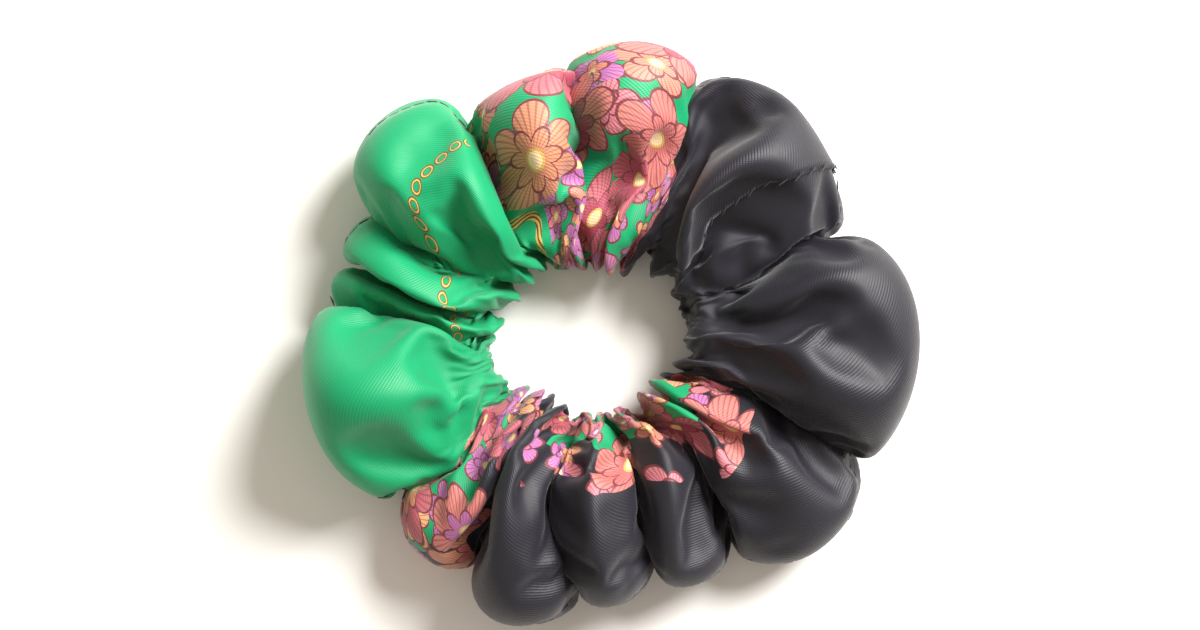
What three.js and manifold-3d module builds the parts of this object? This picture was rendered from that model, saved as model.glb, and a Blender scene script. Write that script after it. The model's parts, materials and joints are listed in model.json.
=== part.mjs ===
// Scrunchie: a silk tube gathered on a loop of flat elastic, with its long edges joined by a lockstitched
// seam and its two ends sewn together by hand.
// Millimetres, +Z up. The origin lies on the table, under the middle of the piece's bounding box.
import * as THREE from 'three';
import { mergeVertices } from 'three/addons/utils/BufferGeometryUtils.js';
import Module from 'manifold-3d';

const wasm = await Module();
wasm.setup();

// Cloth and thread
const SILK_THICKNESS = 0.6; // the solid that stands for one layer of silk
const LAYER_GAP = 0.4; // between two layers that lie on each other
const THREAD_RADIUS = 0.2;
const THREAD_CLEARANCE = 0.3; // from a thread to the cloth or thread that it passes
const THREAD_SIDES = 6;
const HOLE_OVERSHOOT = 0.7; // how far a needle hole is cut past the cloth on each side

// Silk tube
const HOLE_RADIUS = 17;
const OUTER_RADIUS = 55;
const TUBE_HEIGHT = 29;
const SEAM_ALLOWANCE = 6; // cloth turned in along the long seam
const SEAM_LINE_INSET = 3.6; // from the folded lip to the line of stitches
const HEM = 8; // cloth turned in at each end of the tube
const END_GAP = 0.7; // between the two folded ends
const CLOSING_ANGLE = 38; // degrees, where the ends of the tube meet
const CLOSING_LIFT = 1.4; // how far the closing seam stands off the table
const CLOSING_SMOOTH = { full: 7, none: 17 }; // degrees from the seam, where its cloth lies even and smooth
const CLOSING_BITE = 1.3; // from a folded end to the stitch holes in it
const CLOSING_STITCHES = [0.25, 0.75]; // places along each step of the section
const FOLD_SHARPNESS = 1.5; // above 1, a fold is narrow beside its puffs
const PINCH_REACH = 4.5; // how far a fold between two puffs draws the outer edge in
const PINCH_DROP = 7; // how far it draws the top down
const GATHER_DEPTH = 0.7; // of the small gathers round the hole
const GATHERS = 32;
const STATIONS_PER_GATHER = 3;
const STATIONS_PER_STITCH = 4; // of the long seam
const SECTION_STEPS = 14;
const BELLY = 0.42; // height of a section's widest point, as a share of its height
// Each puff's angle round the ring, and what it adds to the hole's radius, the outer radius and the height
const PUFFS = [
  { at: -5, inner: 1.5, outer: 6.5, height: 2 },
  { at: 37, inner: 2, outer: 3, height: 3 },
  { at: 70, inner: -2, outer: 6.5, height: 2 },
  { at: 101, inner: -1, outer: 1, height: 0 },
  { at: 129, inner: 1.5, outer: 2.5, height: 2 },
  { at: 157, inner: 2, outer: -2.5, height: -2 },
  { at: 188, inner: 1, outer: 0, height: 3 },
  { at: 225, inner: -2, outer: -6, height: -1 },
  { at: 249, inner: -2, outer: -4.5, height: -2 },
  { at: 270, inner: -1.5, outer: -1, height: -1 },
  { at: 289, inner: -2, outer: -3, height: -3 },
  { at: 317, inner: -1.5, outer: 1, height: 0 },
];

// Elastic
const ELASTIC_WIDTH = 6;
const ELASTIC_THICKNESS = 1.2;
const ELASTIC_CLEARANCE = 3.9; // from the cloth round the hole to the band's inner face
const ELASTIC_OVERLAP = 12; // of its two ends, along the band
const ELASTIC_SEGMENTS = 72;
const ZIGZAG_STITCHES = 5;
const ZIGZAG_WIDTH = 1.8;
const ZIGZAG_INSET = 1.5; // from the ends of the overlap

const radians = THREE.MathUtils.degToRad;
const stations = GATHERS * STATIONS_PER_GATHER;
const threadReach = THREAD_RADIUS + THREAD_CLEARANCE;
const legSpread = 2 * THREAD_RADIUS + THREAD_CLEARANCE; // from a bobbin thread to the needle thread beside it
const widestHole = HOLE_RADIUS + Math.max(...PUFFS.map((puff) => puff.inner)) + GATHER_DEPTH;
const elasticInnerRadius = widestHole + 2 * SILK_THICKNESS + ELASTIC_CLEARANCE;
// The long seam and the elastic are both at the middle of the lowest fold's height.
const lowestFold = TUBE_HEIGHT + Math.min(...PUFFS.map((puff) => puff.height)) - PINCH_DROP;
const seamHeight = lowestFold / 2;
const elasticHeight = lowestFold / 2;

// What the puffs add to a size at an angle in degrees, less `pinch` at the folds between them.
function puffed(angle, key, pinch) {
  const first = PUFFS[0].at;
  const turned = THREE.MathUtils.euclideanModulo(angle - first, 360) + first;
  const next = PUFFS.findIndex((puff) => puff.at > turned);
  const before = PUFFS.at(next - 1 < 0 ? -1 : next - 1);
  const after = next < 0 ? { ...PUFFS[0], at: first + 360 } : PUFFS[next];
  const share = (turned - before.at) / (after.at - before.at);
  const fold = (1 - Math.abs(2 * share - 1)) ** FOLD_SHARPNESS;
  const eased = THREE.MathUtils.smoothstep(share, 0, 1);
  return THREE.MathUtils.lerp(before[key], after[key], eased) - pinch * fold;
}

// Degrees from the closing seam, from -180 to 180.
const fromClosing = (angle) => THREE.MathUtils.euclideanModulo(angle - CLOSING_ANGLE + 180, 360) - 180;

// The tube's ellipse at an angle: its middle, half axes, and how far its flat foot stands off the table.
function tubeAt(angle) {
  const away = fromClosing(angle);
  const closing = 1 - THREE.MathUtils.smoothstep(Math.abs(away), CLOSING_SMOOTH.full, CLOSING_SMOOTH.none);
  const settled = angle - away * closing; // beside the seam, the section stays as it is at the seam
  const gather = (1 - closing) * GATHER_DEPTH * Math.cos(radians(GATHERS * (angle - CLOSING_ANGLE)));
  const inner = HOLE_RADIUS + puffed(settled, 'inner', 0) + gather;
  const outer = OUTER_RADIUS + puffed(settled, 'outer', PINCH_REACH);
  const height = TUBE_HEIGHT + puffed(settled, 'height', PINCH_DROP);
  return {
    middle: (inner + outer) / 2,
    reach: (outer - inner) / 2,
    belly: BELLY * height,
    rise: (1 - BELLY) * height,
    foot: CLOSING_LIFT * closing,
  };
}

// A point of the section at a turn round the tube, `depth` under the outside of the cloth.
function sectionPoint(tube, turn, depth) {
  const r = tube.middle + (tube.reach - depth) * Math.cos(turn);
  const z = tube.belly + (tube.rise - depth) * Math.sin(turn);
  return new THREE.Vector2(r, Math.max(tube.foot + depth, z));
}

// The turn at which the section, `depth` under the outside, is at a height near the outer edge.
const turnAtHeight = (tube, height, depth) => Math.asin((height - tube.belly) / (tube.rise - depth));

const lowEdge = seamHeight - LAYER_GAP / 2;
const highEdge = seamHeight + LAYER_GAP / 2;

// The outside and inside of the cloth in one section, from its lower lip round the hole to its upper lip.
function clothWalls(angle, layers) {
  const tube = tubeAt(angle);
  const wall = (low, high, depth) => {
    const from = turnAtHeight(tube, low, depth);
    const to = turnAtHeight(tube, high, depth) - 2 * Math.PI;
    return Array.from({ length: SECTION_STEPS + 1 }, (_, i) =>
      sectionPoint(tube, THREE.MathUtils.lerp(from, to, i / SECTION_STEPS), depth),
    );
  };
  return {
    outside: wall(lowEdge, highEdge, 0),
    inside: wall(lowEdge - SILK_THICKNESS, highEdge + SILK_THICKNESS, layers * SILK_THICKNESS),
  };
}

// The closed outline of the cloth in one section: round its outside, back round its inside, and the two
// turned-in edges.
function clothOutline(angle, layers) {
  const { outside, inside } = clothWalls(angle, layers);
  const turnedIn = lipRadius(angle) - SEAM_ALLOWANCE;
  return [
    new THREE.Vector2(turnedIn, lowEdge),
    ...outside,
    new THREE.Vector2(turnedIn, highEdge),
    new THREE.Vector2(turnedIn, highEdge + SILK_THICKNESS),
    ...inside.reverse(),
    new THREE.Vector2(turnedIn, lowEdge - SILK_THICKNESS),
  ];
}

// How far out the folded lips of the long seam are.
function lipRadius(angle) {
  const tube = tubeAt(angle);
  return sectionPoint(tube, turnAtHeight(tube, seamHeight, 0), 0).x;
}

// A point in space from a radius, height and angle, moved `along` the ring.
function placed(angle, r, z, along = 0) {
  const turn = radians(angle);
  const x = r * Math.cos(turn) - along * Math.sin(turn);
  const y = r * Math.sin(turn) + along * Math.cos(turn);
  return new THREE.Vector3(x, y, z);
}

// A closed solid through rings of the same even number of points, each end closed by rungs across its ring.
function loft(rings) {
  const count = rings[0].length;
  const last = (rings.length - 1) * count;
  const index = [];
  for (let i = 0; i + 1 < rings.length; i++) {
    for (let j = 0; j < count; j++) {
      const [a, b] = [i * count + j, i * count + ((j + 1) % count)];
      index.push(a, b, a + count, b, b + count, a + count);
    }
  }
  for (let k = 0; k < count / 2 - 1; k++) {
    const [a, b, c, d] = [k, k + 1, count - 2 - k, count - 1 - k];
    index.push(a, c, b, a, d, c);
    index.push(last + a, last + b, last + c, last + a, last + c, last + d);
  }
  const positions = rings.flat().flatMap((point) => point.toArray());
  const made = new THREE.BufferGeometry();
  made.setAttribute('position', new THREE.Float32BufferAttribute(positions, 3));
  made.setIndex(index);
  return made;
}

// A thread along a polyline, mitred at its corners.
function threadAlong(points) {
  const steps = points.slice(1).map((point, i) => point.clone().sub(points[i]).normalize());
  const slanted = new THREE.Vector3(1, 0.5, 3); // along no stretch of any thread
  let up = slanted.cross(steps[0]).normalize();
  const rings = points.map((point, i) => {
    const [before, after] = [steps[Math.max(i - 1, 0)], steps[Math.min(i, steps.length - 1)]];
    up = up.clone().addScaledVector(before, -up.dot(before)).normalize();
    const side = before.clone().cross(up);
    const mitre = before.clone().add(after).normalize();
    const ring = Array.from({ length: THREAD_SIDES }, (_, k) => {
      const turn = (2 * Math.PI * k) / THREAD_SIDES;
      const spoke = up.clone().multiplyScalar(Math.cos(turn)).addScaledVector(side, Math.sin(turn));
      spoke.multiplyScalar(THREAD_RADIUS);
      return point.clone().add(spoke).addScaledVector(before, -spoke.dot(mitre) / before.dot(mitre));
    });
    up.applyQuaternion(new THREE.Quaternion().setFromUnitVectors(before, after));
    return ring;
  });
  return loft(rings);
}

function solidOf(geometry) {
  const bare = geometry.clone();
  bare.deleteAttribute('normal');
  bare.deleteAttribute('uv');
  const merged = mergeVertices(bare, 1e-4);
  const mesh = new wasm.Mesh({
    numProp: 3,
    vertProperties: merged.attributes.position.array,
    triVerts: new Uint32Array(merged.index.array),
  });
  return new wasm.Manifold(mesh);
}

// A geometry with a hole cut in it for each cutter.
function pierced(geometry, cutters) {
  const cut = cutters.reduce((solid, cutter) => solid.subtract(solidOf(cutter)), solidOf(geometry)).getMesh();
  const made = new THREE.BufferGeometry();
  made.setAttribute('position', new THREE.BufferAttribute(cut.vertProperties, 3));
  made.setIndex(new THREE.BufferAttribute(cut.triVerts, 1));
  return made;
}

// A box hole at a point, given three unit directions and the hole's size along each.
function slotHole(centre, directions, sizes) {
  const hole = new THREE.BoxGeometry(...sizes);
  hole.applyMatrix4(new THREE.Matrix4().makeBasis(...directions).setPosition(centre));
  return hole;
}

// The two threads of a lockstitched row and its holes. Each stop has its place in the middle of the layers,
// and unit directions across the row and up to the needle thread's side. The needle thread goes down round
// the bobbin thread at each stitch, and runs on top to the next. `halfStack` is from the middle to a face.
function lockstitch(stops, halfStack) {
  const top = halfStack + threadReach;
  const at = (stop, across, up) =>
    stop.place.clone().addScaledVector(stop.across, across).addScaledVector(stop.up, up);
  const loop = top + legSpread;
  // Where the row slants across its line, the legs stand further apart to clear the bobbin thread.
  const slants = stops.slice(1).map((stop, i) => {
    const way = stop.place.clone().sub(stops[i].place).normalize();
    return Math.sqrt(1 - way.dot(stop.across) ** 2);
  });
  const spreads = stops.map((_, i) => legSpread / Math.min(slants[Math.max(i - 1, 0)], slants[i] ?? 1));
  const needle = stops.flatMap((stop, i) =>
    stop.stitch
      ? [[-1, top], [-1, -loop], [1, -loop], [1, top]].map(([side, up]) => at(stop, side * spreads[i], up))
      : [at(stop, 0, top)],
  );
  const bobbin = stops.map((stop) => at(stop, 0, -top));
  const holes = stops.flatMap((stop, i) => {
    const along = stop.across.clone().cross(stop.up);
    const sizes = [2 * (spreads[i] + threadReach), 2 * (halfStack + HOLE_OVERSHOOT), 2 * threadReach];
    return stop.stitch ? [slotHole(stop.place, [stop.across, stop.up, along], sizes)] : [];
  });
  return { needle: threadAlong(needle), bobbin: threadAlong(bobbin), holes };
}

// The long seam: stitches at some of the tube's stations, clear of the hemmed ends.
const stationAngle = (i) => CLOSING_ANGLE + (360 * i) / stations;
const hemAngle = THREE.MathUtils.radToDeg(HEM / tubeAt(CLOSING_ANGLE).middle);
function longSeam() {
  const halfStitch = STATIONS_PER_STITCH / 2;
  const hemStations = (hemAngle * stations) / 360;
  const first = STATIONS_PER_STITCH * Math.ceil(hemStations / STATIONS_PER_STITCH) + halfStitch;
  const stops = [];
  for (let i = first; i <= stations - first; i += halfStitch) {
    const angle = stationAngle(i);
    const place = placed(angle, lipRadius(angle) - SEAM_LINE_INSET, seamHeight);
    const across = placed(angle, 1, 0);
    stops.push({ place, across, up: new THREE.Vector3(0, 0, 1), stitch: i % STATIONS_PER_STITCH === 0 });
  }
  return lockstitch(stops, LAYER_GAP / 2 + SILK_THICKNESS);
}

// The hand-sewn closing seam: a whip stitch over the two folded ends, all round the tube.
function closingSeam() {
  const inset = END_GAP / 2 + CLOSING_BITE;
  const { outside, inside } = clothWalls(CLOSING_ANGLE, 2);
  const points = [];
  const holes = [];
  for (let i = 0; i < SECTION_STEPS; i++) {
    for (const share of CLOSING_STITCHES) {
      const [over, under] = [[outside, threadReach], [inside, -threadReach]].map(([wall, lift]) => {
        const run = wall[i + 1].clone().sub(wall[i]).normalize();
        const out = new THREE.Vector2(-run.y, run.x);
        return wall[i].clone().lerp(wall[i + 1], share).addScaledVector(out, lift);
      });
      const out = over.clone().sub(under).normalize();
      const middle = over.clone().lerp(under, 0.5);
      const outWay = placed(CLOSING_ANGLE, out.x, out.y);
      const runWay = placed(CLOSING_ANGLE, -out.y, out.x);
      const directions = [runWay, outWay, runWay.clone().cross(outWay)];
      const sizes = [2 * threadReach, over.distanceTo(under) + HOLE_OVERSHOOT, 2 * threadReach];
      for (const [side, spots] of [[-1, [under, over]], [1, [over, under]]]) {
        points.push(...spots.map((spot) => placed(CLOSING_ANGLE, spot.x, spot.y, side * inset)));
        holes.push(slotHole(placed(CLOSING_ANGLE, middle.x, middle.y, side * inset), directions, sizes));
      }
    }
  }
  return { thread: threadAlong(points), holes };
}

// The silk tube: one strip from folded end to folded end, two layers thick at its hems.
function silkTube(holes) {
  const rings = [];
  for (let i = 0; i <= stations; i++) {
    const angle = stationAngle(i);
    const fromEnd = (Math.min(i, stations - i) * 360) / stations;
    const outline = clothOutline(angle, fromEnd < hemAngle ? 2 : 1);
    const along = i === 0 ? END_GAP / 2 : i === stations ? -END_GAP / 2 : 0;
    rings.push(outline.map((point) => placed(angle, point.x, point.y, along)));
  }
  return pierced(loft(rings), holes);
}

// The elastic: a flat band bent to a ring, its second end lying outside its first, with holes for its zigzag.
function elasticBand(holes) {
  const turnOver = ELASTIC_OVERLAP / elasticInnerRadius;
  const step = ELASTIC_THICKNESS + LAYER_GAP;
  const risen = (turn) => THREE.MathUtils.smoothstep(turn, Math.PI, 2 * Math.PI);
  const edge = (offset) =>
    Array.from({ length: ELASTIC_SEGMENTS + 1 }, (_, i) => {
      const turn = ((2 * Math.PI + turnOver) * i) / ELASTIC_SEGMENTS;
      const r = elasticInnerRadius + step * risen(turn) + offset;
      return new THREE.Vector2(r * Math.cos(turn), r * Math.sin(turn));
    });
  const outline = new THREE.Shape([...edge(0), ...edge(ELASTIC_THICKNESS).reverse()]);
  const band = new THREE.ExtrudeGeometry(outline, { depth: ELASTIC_WIDTH, bevelEnabled: false });
  band.translate(0, 0, elasticHeight - ELASTIC_WIDTH / 2);
  return pierced(band, holes);
}

// The zigzag through the elastic's overlapped ends.
function elasticJoin() {
  const halfStack = ELASTIC_THICKNESS + LAYER_GAP / 2;
  const r = elasticInnerRadius + halfStack;
  const span = THREE.MathUtils.radToDeg((ELASTIC_OVERLAP - 2 * ZIGZAG_INSET) / elasticInnerRadius);
  const start = THREE.MathUtils.radToDeg(ZIGZAG_INSET / elasticInnerRadius);
  const stops = Array.from({ length: ZIGZAG_STITCHES }, (_, i) => {
    const angle = start + (span * i) / (ZIGZAG_STITCHES - 1);
    const height = elasticHeight + (i % 2 ? 0.5 : -0.5) * ZIGZAG_WIDTH;
    const place = placed(angle, r, height);
    return { place, across: new THREE.Vector3(0, 0, 1), up: placed(angle, 1, 0), stitch: true };
  });
  return lockstitch(stops, halfStack);
}

const part = new THREE.Group();
function add(name, geometry, color, roughness) {
  const mesh = new THREE.Mesh(geometry, new THREE.MeshStandardMaterial({ color, roughness, metalness: 0 }));
  mesh.name = name;
  part.add(mesh);
}

const seam = longSeam();
const closing = closingSeam();
const join = elasticJoin();
add('silk_cover', silkTube([...seam.holes, ...closing.holes]), 0x1f9e57, 0.45);
add('long_seam_needle_thread', seam.needle, 0x15161a, 0.6);
add('long_seam_bobbin_thread', seam.bobbin, 0x15161a, 0.6);
add('closing_seam_thread', closing.thread, 0x101114, 0.6);
add('elastic_band', elasticBand(join.holes), 0xe9e6dd, 0.8);
add('elastic_join_needle_thread', join.needle, 0xf2f0ea, 0.6);
add('elastic_join_bobbin_thread', join.bobbin, 0xf2f0ea, 0.6);

// The middle of the bounding box goes over the origin.
const box = new THREE.Box3().setFromObject(part);
part.position.set(-(box.min.x + box.max.x) / 2, -(box.min.y + box.max.y) / 2, -box.min.z);

export default part;
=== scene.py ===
import json
import math

import bpy
import numpy as np
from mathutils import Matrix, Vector


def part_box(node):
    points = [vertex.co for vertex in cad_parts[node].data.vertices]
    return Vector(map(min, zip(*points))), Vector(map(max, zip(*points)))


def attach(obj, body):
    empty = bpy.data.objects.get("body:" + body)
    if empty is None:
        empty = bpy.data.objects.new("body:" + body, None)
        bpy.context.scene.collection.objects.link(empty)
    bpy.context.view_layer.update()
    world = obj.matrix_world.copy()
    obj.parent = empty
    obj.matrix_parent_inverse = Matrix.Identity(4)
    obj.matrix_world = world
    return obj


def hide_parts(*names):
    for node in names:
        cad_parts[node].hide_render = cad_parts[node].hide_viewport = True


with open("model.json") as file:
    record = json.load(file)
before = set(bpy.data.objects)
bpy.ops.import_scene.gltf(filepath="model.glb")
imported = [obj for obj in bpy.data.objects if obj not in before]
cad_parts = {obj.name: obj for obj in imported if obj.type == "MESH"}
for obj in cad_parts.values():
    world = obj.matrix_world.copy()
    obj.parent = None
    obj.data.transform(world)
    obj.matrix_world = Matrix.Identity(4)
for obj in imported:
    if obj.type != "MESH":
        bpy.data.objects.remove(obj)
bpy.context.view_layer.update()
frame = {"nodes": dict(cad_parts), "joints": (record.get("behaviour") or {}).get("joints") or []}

MM = 0.001
scene = bpy.context.scene

# The view: someone stands over the scrunchie and looks almost straight down at it, from arm's length,
# with the whole ring in sight and some of the table round it.
VIEW_CENTRE = Vector((-1.2, 2.9, 14.0)) * MM
VIEW_DISTANCE = 0.62
VIEW_WIDTH = 0.228
VIEW_ELEVATION = math.radians(88)

camera = bpy.data.objects.new("camera", bpy.data.cameras.new("camera"))
scene.collection.objects.link(camera)
camera.data.sensor_width = 36
camera.data.lens = camera.data.sensor_width * VIEW_DISTANCE / VIEW_WIDTH
view_line = Vector((0, -math.cos(VIEW_ELEVATION), math.sin(VIEW_ELEVATION)))
camera.location = VIEW_CENTRE + VIEW_DISTANCE * view_line
camera.rotation_euler = (math.pi / 2 - VIEW_ELEVATION, 0, 0)
scene.camera = camera
scene.view_settings.view_transform = "Standard"

# The silk cover: one strip of thin printed twill, rolled into a tube and crowded on to the elastic, so it
# stands in soft puffs, with deep folds between them and small gathers round the hole. Its shape starts as
# a ring of puffs, listed one by one. A cloth simulation then gives the silk more length and lets it
# settle.
CUT_LENGTH = 444.0
AROUND = 48  # grid points round the tube
ALONG = 256  # grid points along the strip
FOLD_IN = 11.0  # how far a fold draws the outer edge in, mm
FOLD_HEIGHT = 0.42  # of a fold, as a share of the lower puff beside it
GATHERS = 27  # small folds round the hole
GATHER_DEPTH = 2.6
GATHER_MEAN, GATHER_SWING = 0.55, 0.45  # shares of that depth: it comes and goes round the ring
GATHER_WANDER = 1.6  # how unevenly the gathers are spaced
GATHER_FADE = 1.4  # how fast they die away from the hole
CREASES = 21  # longer creases on top
CREASE_DEPTH = 2.3
CREASE_SLANT, CREASE_WANDER = 3, 2
DENT_DEPTH = 1.0
CROWN_FULLNESS = 0.6  # under 1 makes a puff full rather than peaked
OVERHANG_SPREAD = 0.8
SIDE_FULLNESS = 0.9
START_LOWEST = 0.25  # mm
SWELL_OUT = 6.2  # the silk swells by this as it gains its length, so it starts smaller, mm
START_HEIGHT = 0.83  # and lower, as a share
SLACK = 0.2  # how much longer every thread of the silk is than in the starting shape
SIMULATION_SCALE = 0.1  # the solver works in centimetres
SETTLING_FRAMES = 28
HELD_AT_HOLE, HELD_ELSEWHERE = 0.8, 0.02  # how firmly the silk keeps its place as it settles
SILK_APART, SILK_SKIN, TABLE_SKIN, ELASTIC_SKIN = 0.4, 0.2, 0.2, 0.3  # room left round each, mm
SURFACE_GRIP = 20
SETTLING_TABLE = 200  # half its side, mm
SETTLING_SIDES = 48  # of the ring that stands for the elastic
BAND_INNER = 24.4  # room that the elastic and its overlapped join sweep as they turn, mm
BAND_OUTER = 29.3
BAND_CLEARANCE = 0.9
OVER_FROM, OVER_TO = 15, 165  # the part of the tube over the elastic, degrees round it from the outside
UNDER_FROM, UNDER_TO = 195, 345  # and the part under it
GRID_REACH = 2.5  # a little more than the space between grid points round the tube, mm
SILK_THICKNESS = 0.2
LOWEST = 0.7  # of the grid points, so that the smoothed silk stays on the table, mm
HEM_TURN_IN = 8.0  # cloth turned in at each end, mm
CLOSING_SEAM_ANGLE = 38.0
SEAM_DEPTH = 0.7  # how deep the long seam draws in, mm
SEAM_PUCKER = 0.5
SEAM_PUCKER_ROWS = 3.2
LAP_ROWS = 4  # how far one end of the strip runs under the other
LAP_DEPTH = 0.55
LAP_LIFT = 0.25
CRISP_PASSES = 4
BIG_FLOWER = 15.5  # spacing of the large flowers, mm
SMALL_FLOWER = 9.0
TWILL_PITCH = 0.6
CROSS_YARN_PITCH = 0.6  # as a share of that
CHAIN_LINK = 2.6
CHAIN_ACROSS, CHAIN_SWAY, CHAIN_WAVE = 26, 9, 19  # the chain's line, mm
ROPE_AWAY, ROPE_WIDTH, ROPE_PITCH = 3, 0.8, 2.6  # the gold rope beside the border, mm
PENDANT = (32.0, 160.0, 2.6)  # across, along and radius of the round gold pendant, mm
GREEN_FROM, GREEN_TO = 34.0, 225.0  # where the green ground lies along the strip, mm from the closing seam
BORDER_FROM, BORDER_TO = 28.0, 85.0
DIAGONAL_FROM, DIAGONAL_TO = 208.0, 235.0
INNER_FROM, INNER_TO = 269.0, 346.0
INNER_GREEN_REACH, INNER_FLOWER_REACH = 14.0, 25.0
INNER_MARGIN = 8
DRIFT_ACROSS, DRIFT_ALONG = 22, 26  # how far the edges of the coloured fields wander, mm
CHAIN_FROM, CHAIN_TO = 96.0, 164.0

band_low, band_high = (Vector(corner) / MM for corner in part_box("elastic_band"))
joint = frame["joints"][0]
ring_centre = np.array([joint["pos_m"][0] / MM, joint["pos_m"][1] / MM, 0.0])
band_top, band_foot = band_high.z, band_low.z

# Each puff: angle, outer reach, hole radius, height, share of the strip, overhang, lean, sweep
PUFFS = [
    (-3, 61.5, 19.0, 29, 74, 0.42, 0.00, 0.00),
    (44, 58.5, 19.5, 30, 72, 0.42, 0.05, 0.00),
    (77, 58.0, 15.0, 27, 40, 0.50, -0.05, 0.10),
    (101, 56.0, 14.5, 28, 38, 0.50, 0.05, 0.00),
    (128, 59.5, 17.5, 27, 44, 0.42, 0.05, 0.05),
    (149, 51.5, 18.0, 22, 26, 0.40, 0.05, 0.00),
    (164, 51.5, 18.5, 20, 24, 0.40, 0.10, 0.00),
    (191, 57.5, 19.0, 31, 68, 0.50, 0.00, 0.00),
    (227, 52.0, 15.0, 24, 44, 0.40, -0.10, 0.05),
    (252, 56.5, 15.0, 26, 42, 0.42, 0.05, 0.10),
    (273, 54.5, 14.5, 24, 30, 0.45, 0.00, -0.05),
    (290, 53.5, 14.5, 22, 28, 0.45, 0.00, 0.00),
    (319, 58.5, 16.0, 26, 48, 0.42, 0.05, 0.00),
]
puff_cloth = np.array([puff[4] for puff in PUFFS], float)
strip_length = CUT_LENGTH - 2 * HEM_TURN_IN
puff_cloth *= strip_length / puff_cloth.sum()
puff_ends = np.concatenate([[0], np.cumsum(puff_cloth)])
puff_angles = np.array([puff[0] for puff in PUFFS], float)
next_angles = np.append(puff_angles[1:], puff_angles[0] + 360)
cloth_of_both = puff_cloth + np.roll(puff_cloth, -1)
folds_after = puff_angles + (next_angles - puff_angles) * puff_cloth / cloth_of_both
folds_before = np.roll(folds_after, 1)
folds_before[0] -= 360


def puffed_ring():
    """Points of the cover in its starting shape, row by row along the strip.

    Every wave fits the strip a whole number of times.
    """
    turn = np.arange(AROUND) / AROUND * 2 * math.pi
    outward = (1 + np.cos(turn)) / 2
    rows = []
    for place in (np.arange(ALONG) + 0.5) / ALONG * strip_length:
        which = int(np.searchsorted(puff_ends, place, side="right")) - 1
        share = (place - puff_ends[which]) / puff_cloth[which]
        beside = (which + (1 if share > 0.5 else -1)) % len(PUFFS)
        angle, outer, inner, height, _, overhang, lean, sweep = PUFFS[which]
        outer, height = outer - SWELL_OUT, height * START_HEIGHT
        phase = (2 * share - 1) * math.pi
        crown = ((1 + math.cos(phase)) / 2) ** CROWN_FULLNESS
        fold_outer = min(outer, PUFFS[beside][1] - SWELL_OUT) - FOLD_IN
        fold_inner = (inner + PUFFS[beside][2]) / 2
        fold_height = FOLD_HEIGHT * min(height, PUFFS[beside][3] * START_HEIGHT)
        row_outer = fold_outer + (outer - fold_outer) * crown
        row_inner = fold_inner + (inner - fold_inner) * crown
        row_height = fold_height + (height - fold_height) * crown
        half = (folds_after[which] - folds_before[which]) / 2
        middle = (folds_after[which] + folds_before[which]) / 2
        way = middle + half * (2 * share - 1) + (angle - middle) * crown
        way = way + overhang * half * outward**OVERHANG_SPREAD * math.sin(phase)
        way = np.radians(way + half * (lean * np.sin(turn) * crown + 2 * sweep * (outward - 0.5)))
        lap = 2 * math.pi * place / strip_length
        gather = math.sin(GATHERS * lap + GATHER_WANDER * math.sin(3 * lap) + math.sin(7 * lap))
        gather *= GATHER_DEPTH * (GATHER_MEAN + GATHER_SWING * math.sin(4 * lap + 2))
        crease = np.sin(CREASES * lap + CREASE_SLANT * (outward - 0.5) + CREASE_WANDER * math.sin(2 * lap))
        dent = np.sin(3 * turn + 6 * lap) * math.sin(10 * lap + 1) + np.sin(2 * turn - 4 * lap + 2)
        bump = gather * (1 - outward) ** GATHER_FADE + DENT_DEPTH * dent * outward**0.5
        bump = bump + CREASE_DEPTH * crease * np.sin(turn).clip(0) ** 2
        radius = (row_inner + row_outer) / 2 + ((row_outer - row_inner) / 2 + bump) * np.cos(turn)
        rise = np.sign(np.sin(turn)) * np.abs(np.sin(turn)) ** SIDE_FULLNESS
        up = row_height * (0.5 + 0.5 * rise) + bump * np.sin(turn)
        up = np.maximum(up, START_LOWEST)
        rows.append(np.stack([radius * np.cos(way), radius * np.sin(way), up], axis=1))
    return np.array(rows)


def grid_faces(rows, columns, joined=True):
    """Quads over a grid, facing out. It closes on itself across, and along too if its ends are joined."""

    def corner(i, j):
        return (i % rows) * columns + j % columns

    return [
        (corner(i, j), corner(i + 1, j), corner(i + 1, j + 1), corner(i, j + 1))
        for i in range(rows if joined else rows - 1)
        for j in range(columns)
    ]


def mesh_object(name, points, faces):
    mesh = bpy.data.meshes.new(name)
    mesh.from_pydata([tuple(point) for point in points], [], faces)
    mesh.update()
    made = bpy.data.objects.new(name, mesh)
    scene.collection.objects.link(made)
    return made


def flat_square(name, half):
    corners = [(-1, -1), (1, -1), (1, 1), (-1, 1)]
    return mesh_object(name, [(x * half, y * half, 0) for x, y in corners], [(0, 1, 2, 3)])


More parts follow.
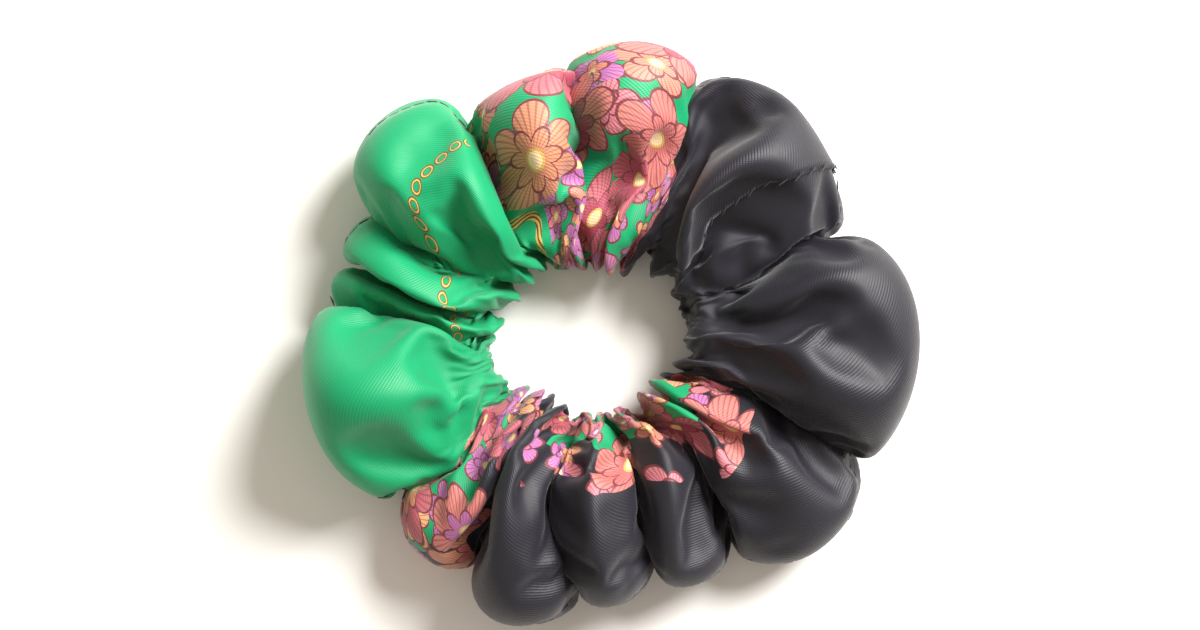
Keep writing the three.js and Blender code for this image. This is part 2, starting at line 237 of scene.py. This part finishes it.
def settled(start):
    """The cover after the silk has grown by its slack and settled over the elastic and on to the table."""
    silk = mesh_object("settling", start.reshape(-1, 3) * SIMULATION_SCALE, grid_faces(ALONG, AROUND))
    held = silk.vertex_groups.new(name="held")
    for j in range(AROUND):
        grip = HELD_AT_HOLE if abs(j - AROUND // 2) <= 1 else HELD_ELSEWHERE
        held.add([i * AROUND + j for i in range(ALONG)], grip, "REPLACE")
    table = flat_square("settling_table", SETTLING_TABLE * SIMULATION_SCALE)
    section = [
        (BAND_INNER, band_foot),
        (BAND_OUTER, band_foot),
        (BAND_OUTER, band_top),
        (BAND_INNER, band_top),
    ]
    turns = np.arange(SETTLING_SIDES) / SETTLING_SIDES * 2 * math.pi
    ring = np.array([(r * math.cos(a), r * math.sin(a), z) for a in turns for r, z in section])
    ring_faces = grid_faces(SETTLING_SIDES, len(section))
    elastic = mesh_object("settling_elastic", ring * SIMULATION_SCALE, ring_faces)
    for solid, skin in ((table, TABLE_SKIN), (elastic, ELASTIC_SKIN)):
        solid.modifiers.new("collision", "COLLISION")
        solid.collision.thickness_outer = skin * SIMULATION_SCALE
        solid.collision.cloth_friction = SURFACE_GRIP
    cloth = silk.modifiers.new("cloth", "CLOTH")
    cloth.settings.quality = 6
    cloth.settings.mass = 0.15
    cloth.settings.tension_stiffness = cloth.settings.compression_stiffness = 15
    cloth.settings.shear_stiffness = 5
    cloth.settings.bending_model = "ANGULAR"
    cloth.settings.bending_stiffness = 0.08
    cloth.settings.bending_damping = 0.5
    cloth.settings.air_damping = 2
    cloth.settings.vertex_group_mass = "held"
    cloth.settings.shrink_min = -SLACK
    cloth.collision_settings.use_self_collision = True
    cloth.collision_settings.self_distance_min = SILK_APART * SIMULATION_SCALE
    cloth.collision_settings.distance_min = SILK_SKIN * SIMULATION_SCALE
    cloth.collision_settings.collision_quality = 3
    scene.frame_start, scene.frame_end = 1, SETTLING_FRAMES
    for step in range(1, SETTLING_FRAMES + 1):
        scene.frame_set(step)
    done = silk.evaluated_get(bpy.context.evaluated_depsgraph_get()).data
    points = np.zeros(ALONG * AROUND * 3)
    done.vertices.foreach_get("co", points)
    scene.frame_set(1)
    for used in (silk, table, elastic):
        bpy.data.objects.remove(used)
    return points.reshape(ALONG, AROUND, 3) / SIMULATION_SCALE


def round_elastic(points):
    """Keeps each part of the tube on its own side of the room that the elastic sweeps out as it turns."""
    turn = np.arange(AROUND) / AROUND * 360
    radius = np.linalg.norm(points[:, :, :2], axis=2)
    inner, outer = BAND_INNER - BAND_CLEARANCE, BAND_OUTER + BAND_CLEARANCE
    foot, top = band_foot - BAND_CLEARANCE, band_top + BAND_CLEARANCE
    by_the_ring = (radius > inner - GRID_REACH) & (radius < outer + GRID_REACH)
    over = (turn > OVER_FROM) & (turn < OVER_TO)
    under = (turn > UNDER_FROM) & (turn < UNDER_TO)
    height = np.where(by_the_ring & over, np.maximum(points[:, :, 2], top), points[:, :, 2])
    height = np.where(by_the_ring & under, np.minimum(height, foot), height)
    level = (height > foot) & (height < top)
    outside = (turn <= 90) | (turn >= 270)
    wanted = np.where(level & outside, np.maximum(radius, outer), radius)
    wanted = np.where(level & ~outside, np.minimum(radius, inner), wanted)
    moved = np.empty_like(points)
    moved[:, :, :2] = points[:, :, :2] * (wanted / radius)[:, :, None]
    moved[:, :, 2] = height
    return moved


def as_smoothed(points):
    """Where the grid points come to lie once the surface is smoothed.

    A point keeps 9/16 of its place, and takes 3/32 from each point beside it and 1/64 from each corner.
    """
    beside = sum(np.roll(points, step, axis=axis) for step in (1, -1) for axis in (0, 1))
    rows = [np.roll(points, step, axis=0) for step in (1, -1)]
    corners = sum(np.roll(row, step, axis=1) for row in rows for step in (1, -1))
    return points * 9 / 16 + beside * 3 / 32 + corners / 64


def crisp(points):
    """Moves the points so that the smoothed surface still passes through the settled cloth."""
    held = points
    for _ in range(CRISP_PASSES):
        held = held + points - as_smoothed(held)
    return held


def outward_normals(points):
    """Normals of a grid that closes on itself both ways."""
    along = np.roll(points, -1, axis=0) - np.roll(points, 1, axis=0)
    across = np.roll(points, -1, axis=1) - np.roll(points, 1, axis=1)
    normals = np.cross(along, across)
    return normals / np.linalg.norm(normals, axis=2)[:, :, None]


cover_points = round_elastic(puffed_ring())
cover_points = settled(cover_points)
cover_points = round_elastic(crisp(cover_points))
cover_points[:, :, 2] = np.maximum(cover_points[:, :, 2], LOWEST)

# The tube is cut open at the closing seam, so that row 0 is one end of the strip.
row_angle = np.degrees(np.arctan2(*cover_points.mean(axis=1)[:, [1, 0]].T))
closing_row = int(np.argmin(np.abs((row_angle - CLOSING_SEAM_ANGLE + 180) % 360 - 180)))
cover_points = np.roll(cover_points, -closing_row, axis=0)
tube_girth = np.linalg.norm(np.roll(cover_points, -1, axis=1) - cover_points, axis=2).sum(axis=1).mean()
across_step, along_step = tube_girth / AROUND, strip_length / ALONG

# The long seam draws the silk in along the outer edge, tighter at each stitch.
out = outward_normals(cover_points)
pucker = SEAM_DEPTH * (1 + SEAM_PUCKER * np.sin(np.arange(ALONG) * 2 * math.pi / SEAM_PUCKER_ROWS))
cover_points[:, 0] -= out[:, 0] * pucker[:, None]

# The far end of the strip runs on under the near end, which is folded under and stitched down on it.
lapped_end = np.array([cover_points[i] - out[i] * LAP_DEPTH for i in range(LAP_ROWS)])
cover_rows = np.concatenate([cover_points, lapped_end])
cover_rows[0] += out[0] * LAP_LIFT
cover_rows[-LAP_ROWS - 1] -= out[-1] * LAP_DEPTH / 2
cover_rows += ring_centre

cover_faces = grid_faces(len(cover_rows), AROUND, joined=False)
cover = mesh_object("silk_cover_cloth", cover_rows.reshape(-1, 3) * MM, cover_faces)
places = [
    (column * across_step, row * along_step)
    for i in range(len(cover_rows) - 1)
    for j in range(AROUND)
    for row, column in ((i, j), (i + 1, j), (i + 1, j + 1), (i, j + 1))
]
cover.data.uv_layers.new(name="strip").data.foreach_set("uv", np.array(places).ravel())
for face in cover.data.polygons:
    face.use_smooth = True
smooth = cover.modifiers.new("smooth", "SUBSURF")
smooth.levels = smooth.render_levels = 1
wall = cover.modifiers.new("wall", "SOLIDIFY")
wall.thickness = SILK_THICKNESS * MM
wall.offset = -1


def dye(red, green, blue):
    """A colour from its swatch values, 0 to 255."""
    parts = (value / 255 for value in (red, green, blue))
    return (*(part / 12.92 if part <= 0.04045 else ((part + 0.055) / 1.055) ** 2.4 for part in parts), 1.0)


class Value:
    """A shader socket that takes part in sums."""

    def __init__(self, finish, socket):
        self.finish, self.socket = finish, socket

    def __getitem__(self, output):
        return Value(self.finish, self.socket.node.outputs[output])

    def sum_of(self, operation, *values):
        return self.finish.node("ShaderNodeMath", {"operation": operation}, dict(enumerate(values)))

    def __add__(self, other):
        return self.sum_of("ADD", self, other)

    def __sub__(self, other):
        return self.sum_of("SUBTRACT", self, other)

    def __rsub__(self, other):
        return self.sum_of("SUBTRACT", other, self)

    def __mul__(self, other):
        return self.sum_of("MULTIPLY", self, other)

    def __truediv__(self, other):
        return self.sum_of("DIVIDE", self, other)

    def __pow__(self, other):
        return self.sum_of("POWER", self, other)

    def __lt__(self, other):
        return self.sum_of("LESS_THAN", self, other)

    def __gt__(self, other):
        return self.sum_of("GREATER_THAN", self, other)

    def __abs__(self):
        return self.sum_of("ABSOLUTE", self)

    def sine(self):
        return self.sum_of("SINE", self)

    def wrapped(self, period):
        return self.sum_of("FLOORED_MODULO", self, period)

    def highest(self, other):
        return self.sum_of("MAXIMUM", self, other)

    __radd__, __rmul__ = __add__, __mul__


class Finish:
    """A material being put together from nodes."""

    def __init__(self, name):
        self.material = bpy.data.materials.new(name)
        self.material.use_nodes = True
        self.tree = self.material.node_tree
        self.tree.nodes.clear()

    def node(self, kind, settings=None, sockets=None, output=0):
        made = self.tree.nodes.new(kind)
        for name, value in (settings or {}).items():
            if name == "stops":
                ramp = made.color_ramp
                while len(ramp.elements) < len(value):
                    ramp.elements.new(0.5)
                for element, (position, tint) in zip(ramp.elements, value):
                    element.position, element.color = position, tint
            elif name == "blend":
                made.color_ramp.interpolation = value
            else:
                setattr(made, name, value)
        for name, value in (sockets or {}).items():
            if isinstance(value, Value):
                self.tree.links.new(value.socket, made.inputs[name])
            else:
                made.inputs[name].default_value = value
        return Value(self, made.outputs[output]) if made.outputs else None

    def mix(self, factor, under, over):
        """Under where the factor is 0, and over where it is 1, as colours."""
        sockets = {0: factor, 6: under, 7: over}
        return self.node("ShaderNodeMix", {"data_type": "RGBA"}, sockets, 2)

    def noise(self, place, scale, detail=2):
        return self.node("ShaderNodeTexNoise", {}, {"Vector": place, "Scale": scale, "Detail": detail})

    def surface(self, bump_height=None, bump_depth=0.0, **sockets):
        """The finished shader, with its fixed numbers set on its own sockets."""
        named = {name.replace("_", " "): value for name, value in sockets.items()}
        if bump_height is not None:
            relief = {"Height": bump_height, "Distance": bump_depth * MM, "Strength": 1.0}
            named["Normal"] = self.node("ShaderNodeBump", {}, relief)
        shader = self.node("ShaderNodeBsdfPrincipled", {}, named)
        self.node("ShaderNodeOutputMaterial", {"target": "ALL"}, {"Surface": shader})
        return self.material


GREEN = dye(7, 157, 102)
GREEN_DEEP = dye(6, 138, 87)
BLACK = dye(29, 28, 37)
PALE_PETAL = dye(206, 146, 132)
BARE_SHARE = 0.22  # of the flowers are left out, so that the ground shows
OUTLINE = dye(112, 52, 58)
HEART = dye(232, 205, 160)
GOLD = dye(196, 164, 84)
ROPE_DARK = dye(92, 70, 34)
BLOOM_DYES = [
    dye(186, 92, 108),
    dye(190, 108, 104),
    dye(172, 104, 156),
    dye(166, 72, 92),
    dye(196, 132, 98),
]
SMALL_DYES = [dye(222, 160, 110), dye(205, 118, 135), dye(170, 100, 170), dye(212, 130, 110)]
FULL_TURN = 6.28  # in radians
# A flower's parts, as shares of the space between flowers
PETAL_BASE, PETAL_REACH, PETAL_ROUNDNESS = 0.30, 0.24, 0.6
INNER_BASE, INNER_REACH = 0.16, 0.13
HEART_SIZE, GOLD_RIM = 0.075, 0.1
FLOWER_SCATTER = 0.55  # how far from an even grid the flowers lie
PALE_SPREAD = 1.1  # how soon a petal turns pale towards its tip
OUTER_LINE_FROM = -0.45  # inked outlines, mm from the petals' edges
INNER_LINE_FROM, INNER_LINE_TO = -0.32, 0.1
PETAL_GAP = 0.16
PETAL_HATCH, HATCH_CURVE, HATCH_FROM, HATCH_INK = 7, 0.9, 0.55, 0.55
INNER_HATCH, INNER_HATCH_FROM, INNER_HATCH_INK = 5, 0.5, 0.5
LINK_HOLE, LINK_RIM, LINK_FACE, LINK_EDGE = 0.22, 0.28, 0.38, 0.46  # of a chain link
PENDANT_RING, PENDANT_HEART = (0.62, 0.76), 0.2


def strip_places(finish):
    """How far across and along the strip a point lies, in millimetres."""
    place = finish.node("ShaderNodeUVMap", {"uv_map": "strip"})
    split = finish.node("ShaderNodeSeparateXYZ", {}, {0: place})
    return place, split["X"], split["Y"]


def between(value, low, high):
    return (value > low) * (value < high)


def flowers(finish, place, spacing, petals, shift, dyes):
    """A scatter of flowers: where they are, and their colours."""
    shifted = {0: place, 1: (shift, shift * 0.7, 0)}
    moved = finish.node("ShaderNodeVectorMath", {"operation": "ADD"}, shifted)
    settings = {"voronoi_dimensions": "2D", "feature": "F1"}
    sockets = {"Vector": moved, "Scale": 1 / spacing, "Randomness": FLOWER_SCATTER}
    cell = finish.node("ShaderNodeTexVoronoi", settings, sockets)
    away = finish.node("ShaderNodeVectorMath", {"operation": "SUBTRACT"}, {0: moved, 1: cell["Position"]})
    reach = finish.node("ShaderNodeVectorMath", {"operation": "LENGTH"}, {0: away}, "Value")
    arm = finish.node("ShaderNodeSeparateXYZ", {}, {0: away})
    luck = finish.node("ShaderNodeSeparateColor", {}, {0: cell["Color"]})
    turn = arm["Y"].sum_of("ARCTAN2", arm["Y"], arm["X"]) + luck["Red"] * FULL_TURN
    lobes = abs((turn * (petals / 2)).sine())
    edge = spacing * (PETAL_BASE + PETAL_REACH * lobes**PETAL_ROUNDNESS)
    inner_lobes = abs((turn * (petals / 2) + FULL_TURN / 4).sine())
    inner_edge = spacing * (INNER_BASE + INNER_REACH * inner_lobes)
    stops = [(i / len(dyes), tint) for i, tint in enumerate(dyes)]
    petal = finish.node("ShaderNodeValToRGB", {"blend": "CONSTANT", "stops": stops}, {0: luck["Green"]})
    heart = finish.node("ShaderNodeValToRGB", {"blend": "CONSTANT", "stops": stops}, {0: luck["Blue"]})
    pale = finish.mix((reach / spacing * PALE_SPREAD) ** 2, petal, PALE_PETAL)
    hatch = ((turn * (petals * PETAL_HATCH) + reach * HATCH_CURVE).sine() > HATCH_FROM) * HATCH_INK
    inked = finish.mix(hatch, pale, OUTLINE)
    between_petals = (lobes < PETAL_GAP) * (reach > inner_edge)
    inked = finish.mix(between_petals, inked, OUTLINE)
    inner_hatch = ((turn * (petals * INNER_HATCH)).sine() > INNER_HATCH_FROM) * INNER_HATCH_INK
    inner = finish.mix(inner_hatch, heart, OUTLINE)
    inked = finish.mix(reach < inner_edge, inked, inner)
    inked = finish.mix(between(reach - inner_edge, INNER_LINE_FROM, INNER_LINE_TO), inked, OUTLINE)
    inked = finish.mix(reach < spacing * HEART_SIZE, inked, HEART)
    inked = finish.mix(between(reach, spacing * HEART_SIZE, spacing * GOLD_RIM), inked, GOLD)
    inked = finish.mix(between(reach - edge, OUTER_LINE_FROM, 0.0), inked, OUTLINE)
    return (reach < edge) * (luck["Blue"] > BARE_SHARE), inked


def rope(finish, distance, run, width, pitch):
    """A twisted gold rope along a line: where it is, and its colour."""
    strands = ((run / pitch + distance / width) * FULL_TURN).sine()
    tint = finish.mix(strands > 0.1, GOLD, ROPE_DARK)
    return abs(distance) < width, tint


def chain(finish, distance, run, link):
    """A line of round gold links: where it is, and its colour."""
    step = run.wrapped(link) - link / 2
    reach = (step * step + distance * distance) ** 0.5
    ring = between(reach, link * LINK_HOLE, link * LINK_EDGE)
    tint = finish.mix(between(reach, link * LINK_RIM, link * LINK_FACE), ROPE_DARK, GOLD)
    return ring, tint


silk = Finish("printed_silk_twill")
place, across, along = strip_places(silk)
drift = silk.node("ShaderNodeSeparateColor", {}, {0: silk.noise(place, 0.06)["Color"]})
drift_across = (drift["Red"] - 0.5) * DRIFT_ACROSS
drift_along = (drift["Green"] - 0.5) * DRIFT_ALONG
hole_edge = abs(across + drift_across - tube_girth / 2)
from_seam = along + drift_along
ground_green = between(from_seam, GREEN_FROM, GREEN_TO)
inner_green = (hole_edge < INNER_GREEN_REACH) * between(from_seam, INNER_FROM, INNER_TO)
green_field = ground_green.highest(inner_green)
ground = silk.mix(silk.noise(place, 0.03)["Fac"], GREEN, GREEN_DEEP)
ground = silk.mix(green_field, BLACK, ground)

big_where, big_tint = flowers(silk, place, BIG_FLOWER, 7, 31.0, BLOOM_DYES)
small_where, small_tint = flowers(silk, place, SMALL_FLOWER, 5, 83.0, SMALL_DYES)
border = between(from_seam, BORDER_FROM, BORDER_TO).highest(between(from_seam, DIAGONAL_FROM, DIAGONAL_TO))
inner_run = between(from_seam, INNER_FROM - INNER_MARGIN, INNER_TO + INNER_MARGIN)
inner_band = (hole_edge < INNER_FLOWER_REACH) * inner_run
border = border.highest(inner_band)
print_tint = silk.mix(small_where * border, ground, small_tint)
print_tint = silk.mix(big_where * border, print_tint, big_tint)

chain_line = across - CHAIN_ACROSS - CHAIN_SWAY * (along / CHAIN_WAVE).sine()
chain_where, chain_tint = chain(silk, chain_line, along, CHAIN_LINK)
chain_where = chain_where * between(from_seam, CHAIN_FROM, CHAIN_TO)
print_tint = silk.mix(chain_where, print_tint, chain_tint)
pendant_reach = ((across - PENDANT[0]) ** 2 + (along - PENDANT[1]) ** 2) ** 0.5 / PENDANT[2]
pendant_dark = between(pendant_reach, *PENDANT_RING).highest(pendant_reach < PENDANT_HEART)
pendant_tint = silk.mix(pendant_dark, GOLD, ROPE_DARK)
print_tint = silk.mix(pendant_reach < 1, print_tint, pendant_tint)
rope_where, rope_tint = rope(silk, from_seam - BORDER_TO - ROPE_AWAY, across, ROPE_WIDTH, ROPE_PITCH)
print_tint = silk.mix(rope_where, print_tint, rope_tint)

twill = ((across + along) * (2 * math.pi / TWILL_PITCH)).sine()
cross_yarn = ((across - along) * (2 * math.pi / (TWILL_PITCH * CROSS_YARN_PITCH))).sine()
slub = silk.noise(place, 1.4, 3)["Fac"]
# Painted shade: the silk is darkened a little along each diagonal line of the twill, in step with its
# bump.
shade = 0.5 + 0.5 * twill
print_tint = silk.mix(shade * 0.07, print_tint, dye(12, 12, 14))
cover_silk = silk.surface(
    bump_height=twill * 0.6 + cross_yarn * 0.25 + slub * 0.5,
    bump_depth=0.025,
    Base_Color=print_tint,
    Roughness=0.44 + 0.12 * slub,
    Specular_IOR_Level=0.36,
    Sheen_Weight=0.18,
    Sheen_Roughness=0.4,
)
cover.data.materials.append(cover_silk)

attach(cover, "cover")
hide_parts("silk_cover")

# The sewing threads: dark polyester, locked through the two long edges in short even stitches, and sewn by
# hand in longer slanting ones where the two ends of the tube meet. Each stitch is a plump little bead of
# thread, half sunk in the silk on the outside.
THREAD_RADIUS = 0.16
MACHINE_STITCH = 2.6
SEAM_LOWEST = 0.8
HAND_STITCH = 3.4
MACHINE_SHOWN, HAND_SHOWN = 0.9, 0.8  # share of each stitch that shows
HAND_SLANT = 0.5
NEEDLE_DEPTH, BOBBIN_DEPTH, HAND_DEPTH = 0.05, -0.45, 0.1  # out from the silk, mm
TWIST_PITCH = 0.22
THREAD_FUZZ = 2200  # to the metre


def stitch_tree():
    """Stitches along a path of edges, whose points carry their outward direction."""
    tree = bpy.data.node_groups.new("stitches", "GeometryNodeTree")
    sockets = [
        ("Path", "INPUT", "NodeSocketGeometry"),
        ("Spacing", "INPUT", "NodeSocketFloat"),
        ("Length", "INPUT", "NodeSocketFloat"),
        ("Radius", "INPUT", "NodeSocketFloat"),
        ("Slant", "INPUT", "NodeSocketFloat"),
        ("Thread", "INPUT", "NodeSocketMaterial"),
        ("Stitches", "OUTPUT", "NodeSocketGeometry"),
    ]
    for name, way, kind in sockets:
        tree.interface.new_socket(name, in_out=way, socket_type=kind)

    def node(kind, settings=None, **links):
        made = tree.nodes.new(kind)
        for name, value in (settings or {}).items():
            setattr(made, name, value)
        for name, value in links.items():
            key = int(name[1:]) if name[1:].isdigit() else name.replace("_", " ")
            socket = made.inputs[key]
            if isinstance(value, bpy.types.NodeSocket):
                tree.links.new(value, socket)
            else:
                socket.default_value = value
        return made

    given = node("NodeGroupInput").outputs
    curve = node("GeometryNodeMeshToCurve", Mesh=given["Path"])
    by_length = {"mode": "LENGTH"}
    spaced = node("GeometryNodeResampleCurve", by_length, Curve=curve.outputs[0], Length=given["Spacing"])
    way = node("GeometryNodeInputTangent")
    outward = node("GeometryNodeInputNamedAttribute", {"data_type": "FLOAT_VECTOR"}, Name="outward")
    along = node("FunctionNodeAlignRotationToVector", {"axis": "Z"}, Vector=way.outputs[0])
    upright = node(
        "FunctionNodeAlignRotationToVector",
        {"axis": "X", "pivot_axis": "Z"},
        Rotation=along.outputs[0],
        Vector=outward.outputs[0],
    )
    slant = node("FunctionNodeAxisAngleToRotation", Axis=(1, 0, 0), Angle=given["Slant"])
    slanted = node(
        "FunctionNodeRotateRotation",
        {"rotation_space": "LOCAL"},
        _0=upright.outputs[0],
        _1=slant.outputs[0],
    )
    bead = node("GeometryNodeMeshUVSphere", Segments=8, Rings=6, Radius=1.0)
    half = node("ShaderNodeMath", {"operation": "MULTIPLY"}, _0=given["Length"], _1=0.5)
    size = node("ShaderNodeCombineXYZ", X=given["Radius"], Y=given["Radius"], Z=half.outputs[0])
    placed = node(
        "GeometryNodeInstanceOnPoints",
        Points=spaced.outputs[0],
        Instance=bead.outputs["Mesh"],
        Rotation=slanted.outputs[0],
        Scale=size.outputs[0],
    )
    real = node("GeometryNodeRealizeInstances", Geometry=placed.outputs[0])
    smooth = node("GeometryNodeSetShadeSmooth", Geometry=real.outputs[0])
    finished = node("GeometryNodeSetMaterial", Geometry=smooth.outputs[0], Material=given["Thread"])
    node("NodeGroupOutput", Stitches=finished.outputs[0])
    return tree


def stitched(name, points, outward, closed, spacing, length, slant, thread):
    """A row of stitches along points, as a finished mesh."""
    count = len(points)
    edges = [(i, (i + 1) % count) for i in range(count if closed else count - 1)]
    mesh = bpy.data.meshes.new(name + "_path")
    mesh.from_pydata([tuple(point) for point in points * MM], edges, [])
    mesh.attributes.new("outward", "FLOAT_VECTOR", "POINT").data.foreach_set("vector", outward.ravel())
    path = bpy.data.objects.new(name + "_path", mesh)
    scene.collection.objects.link(path)
    sewing = path.modifiers.new("sewing", "NODES")
    sewing.node_group = stitches
    wanted = {"Spacing": spacing * MM, "Length": length * MM, "Radius": THREAD_RADIUS * MM, "Slant": slant}
    wanted["Thread"] = thread
    for item in stitches.interface.items_tree:
        if item.in_out == "INPUT" and item.name in wanted:
            sewing[item.identifier] = wanted[item.name]
    done = path.evaluated_get(bpy.context.evaluated_depsgraph_get())
    made = bpy.data.objects.new(name, bpy.data.meshes.new_from_object(done))
    scene.collection.objects.link(made)
    bpy.data.objects.remove(path)
    return made


def thread_finish(name, tint, pale):
    """Spun thread, with its twist showing as slanting ribs, with painted highlight on their crests and
    painted shade between them.
    """
    spun = Finish(name)
    place = spun.node("ShaderNodeTexCoord", {}, {}, "Object")
    split = spun.node("ShaderNodeSeparateXYZ", {}, {0: place})
    ribs = ((split["X"] + split["Y"] + split["Z"]) * (2 * math.pi / (TWIST_PITCH * MM))).sine()
    fuzz = spun.noise(place, THREAD_FUZZ)["Fac"]
    # Painted highlight and shade: each rib of the twist is paler on its crest and darker in the groove
    # beside it.
    colour = spun.mix(0.5 + 0.5 * ribs, tint, pale)
    return spun.surface(
        bump_height=ribs + fuzz,
        bump_depth=0.04,
        Base_Color=spun.mix(fuzz * 0.4, colour, tint),
        Roughness=0.55 + 0.2 * fuzz,
        Sheen_Weight=0.2,
    )


stitches = stitch_tree()
dark_thread = thread_finish("dark_sewing_thread", dye(22, 21, 26), dye(50, 48, 56))
pale_thread = thread_finish("pale_sewing_thread", dye(206, 200, 188), dye(236, 232, 222))

seam_line = (as_smoothed(cover_points) + ring_centre)[:, 0]
seam_line[:, 2] = seam_line[:, 2].clip(SEAM_LOWEST)
seam_out = out[:, 0]
for name, depth, node_name in (
    ("long_seam_needle_stitches", NEEDLE_DEPTH, "long_seam_needle_thread"),
    ("long_seam_bobbin_stitches", BOBBIN_DEPTH, "long_seam_bobbin_thread"),
):
    seam_path = seam_line + seam_out * depth
    shown = MACHINE_STITCH * MACHINE_SHOWN
    row = stitched(name, seam_path, seam_out, False, MACHINE_STITCH, shown, 0.0, dark_thread)
    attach(row, "cover")
    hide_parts(node_name)

# Along the end of the strip the smoothed edge is made from the points of that end alone.
end_beside = np.roll(cover_rows[0], 1, axis=0) + np.roll(cover_rows[0], -1, axis=0)
hand_line = 0.75 * cover_rows[0] + 0.125 * end_beside
hand_row = stitched(
    "closing_seam_hand_stitches",
    hand_line + out[0] * HAND_DEPTH,
    out[0],
    True,
    HAND_STITCH,
    HAND_STITCH * HAND_SHOWN,
    HAND_SLANT,
    dark_thread,
)
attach(hand_row, "cover")
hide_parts("closing_seam_thread")

# The elastic: a flat knitted band, its ends lapped and zigzagged together, loose inside the silk tube. It
# keeps the shape that the frame gives it, and its finish shows knitted ribs and loops round the ring. The
# ribs are painted paler on their crests and darker in the grooves between them, as painted shade.
RIB_PITCH = 0.8
KNIT_LOOPS = 190  # to each radian of the ring
KNIT_FUZZ = 900  # to the metre

knit = Finish("knitted_elastic")
knit_place = knit.node("ShaderNodeTexCoord", {}, {}, "Object")
knit_split = knit.node("ShaderNodeSeparateXYZ", {}, {0: knit_place})
ribs = (knit_split["Z"] * (2 * math.pi / (RIB_PITCH * MM))).sine()
knit_x = knit_split["X"] - joint["pos_m"][0]
knit_y = knit_split["Y"] - joint["pos_m"][1]
around = knit_y.sum_of("ARCTAN2", knit_y, knit_x)
loops = (around * KNIT_LOOPS + ribs * 0.8).sine()
knit_fuzz = knit.noise(knit_place, KNIT_FUZZ)["Fac"]
# Painted shade: the band's colour is paler on each rib's crest and darker in the groove between ribs.
elastic_finish = knit.surface(
    bump_height=ribs + loops * 0.5 + knit_fuzz * 0.4,
    bump_depth=0.15,
    Base_Color=knit.mix(0.5 + 0.5 * ribs, dye(196, 190, 178), dye(238, 234, 225)),
    Roughness=0.7 + 0.15 * knit_fuzz,
)
for node_name, finish in (
    ("elastic_band", elastic_finish),
    ("elastic_join_needle_thread", pale_thread),
    ("elastic_join_bobbin_thread", pale_thread),
):
    carried = frame["nodes"][node_name]
    carried.data.materials.clear()
    carried.data.materials.append(finish)

# The room: a plain pale table, a large soft lamp high up to the right and behind, and warm light from all
# round.
FLOOR_SIZE = 3.0
FLOOR_GRAIN = 40  # to the metre
LAMP_PLACE = (0.50, 0.46, 0.60)
LAMP_SIZE = 0.50
LAMP_POWER = 21.0
LAMP_TINT = (1.0, 0.985, 0.965)
SKY_TINT = (1.0, 0.88, 0.76, 1.0)
SKY_STRENGTH = 0.55

floor_finish = Finish("pale_table")
floor_place = floor_finish.node("ShaderNodeTexCoord", {}, {}, "Object")
floor_grain = floor_finish.noise(floor_place, FLOOR_GRAIN)["Fac"]
floor_tint = floor_finish.mix(floor_grain * 0.04, dye(246, 245, 243), dye(232, 230, 226))
table_finish = floor_finish.surface(Base_Color=floor_tint, Roughness=0.8)
floor = flat_square("table", FLOOR_SIZE / 2)
floor.data.materials.append(table_finish)


def soft_lamp(name, place, size, power, tint):
    lamp = bpy.data.objects.new(name, bpy.data.lights.new(name, "AREA"))
    lamp.data.shape, lamp.data.size, lamp.data.energy, lamp.data.color = "DISK", size, power, tint
    lamp.location = place
    lamp.rotation_euler = (VIEW_CENTRE - Vector(place)).to_track_quat("-Z", "Y").to_euler()
    scene.collection.objects.link(lamp)


soft_lamp("window", LAMP_PLACE, LAMP_SIZE, LAMP_POWER, LAMP_TINT)
scene.world = bpy.data.worlds.new("room")
scene.world.use_nodes = True
sky = scene.world.node_tree.nodes["Background"]
sky.inputs["Color"].default_value = SKY_TINT
sky.inputs["Strength"].default_value = SKY_STRENGTH
